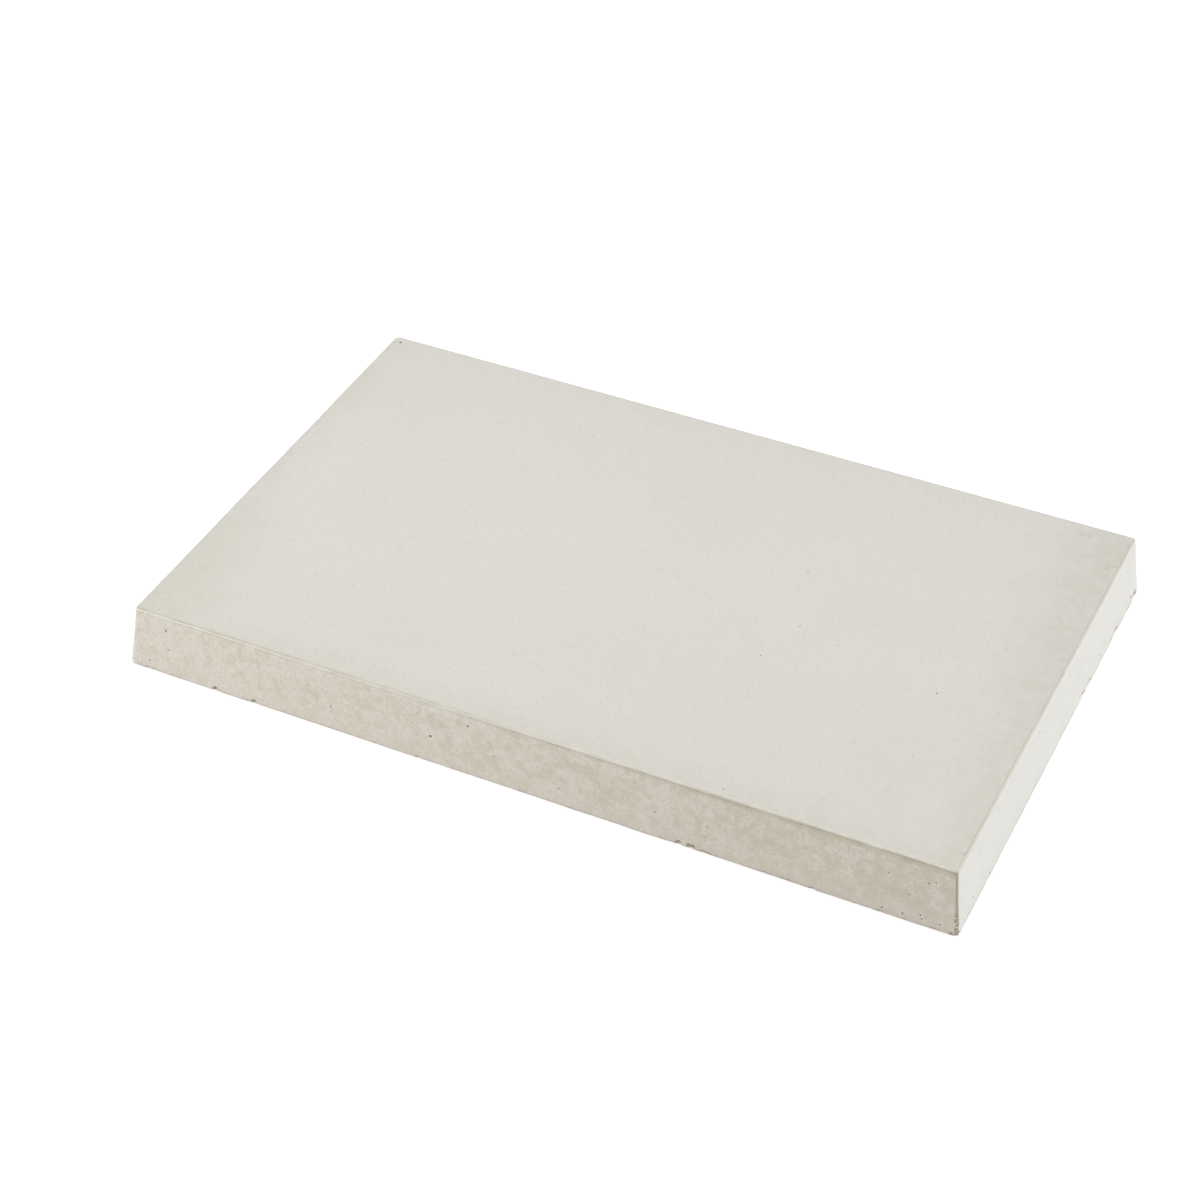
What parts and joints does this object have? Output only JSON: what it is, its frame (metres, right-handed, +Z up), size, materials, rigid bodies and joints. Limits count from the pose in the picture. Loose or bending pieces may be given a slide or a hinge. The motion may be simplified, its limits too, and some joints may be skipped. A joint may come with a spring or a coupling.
{
  "type": "granite slab",
  "caption": "Flat rectangular block of pale cast stone with drafted sides, rested on a bench as a hard, heavy base for tooling and punching leather.",
  "frame": {"origin": "middle of the base that the slab rests on, at z = 0", "axes": "+X along the length, +Y along the width, +Z up out of the work face"},
  "size_m": [0.3102, 0.1936, 0.025],
  "materials": {
    "stone": "pale warm off-white stone, smooth and lightly satin on the work face, with faint brownish mottling and pinholes on the sides and a rough base edge"
  },
  "bodies": {
    "root": {"slab": "stone"}
  },
  "joints": []
}
